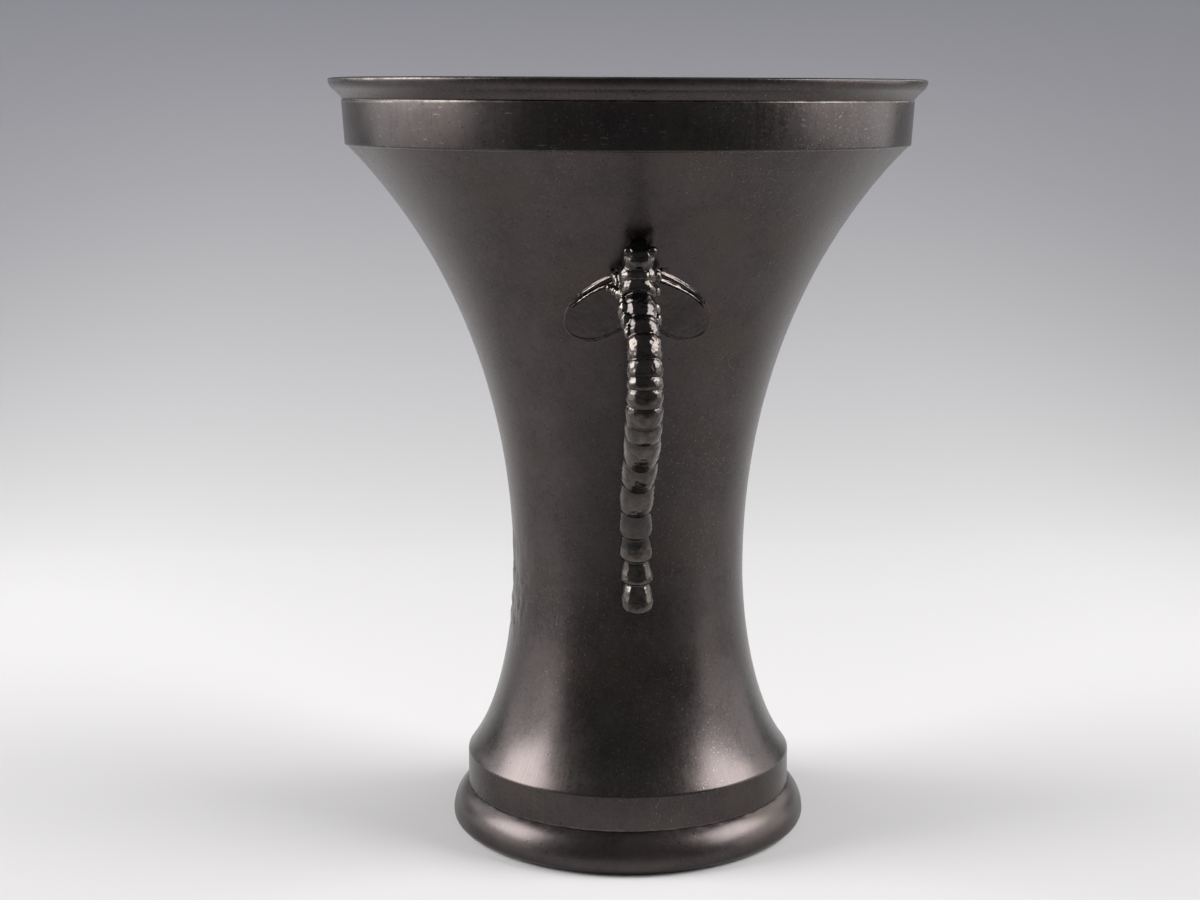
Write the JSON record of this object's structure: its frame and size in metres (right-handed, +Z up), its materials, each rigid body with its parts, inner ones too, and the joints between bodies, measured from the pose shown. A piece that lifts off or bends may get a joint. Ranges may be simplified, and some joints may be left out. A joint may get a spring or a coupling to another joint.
{
  "type": "flower vase",
  "caption": "Dark bronze flower vase with a flared trumpet mouth, a banded rim, a moulded foot and ringed insect loop handles on opposite sides.",
  "frame": {"origin": "on the floor, under the centre of the foot", "axes": "+Z up along the vase's axis; the front handle lies towards -Y and the back handle towards +Y"},
  "size_m": [0.1862, 0.1862, 0.24],
  "materials": {
    "body_bronze": "dark brown patina, satin, with fine pits and worn edges",
    "handle_bronze": "dark brown patina, rubbed to a gloss",
    "plain_bronze": "dull bronze",
    "solder": "dull grey solder"
  },
  "bodies": {
    "root": {"vase_body": "body_bronze", "foot_ring": "body_bronze", "base_plate": "plain_bronze", "base_solder_ring": "solder", "front_handle": "handle_bronze", "front_left_wing": "handle_bronze", "front_right_wing": "handle_bronze", "front_upper_rivet": "plain_bronze", "front_lower_rivet": "plain_bronze", "back_handle": "handle_bronze", "back_left_wing": "handle_bronze", "back_right_wing": "handle_bronze", "back_upper_rivet": "plain_bronze", "back_lower_rivet": "plain_bronze"}
  },
  "joints": []
}
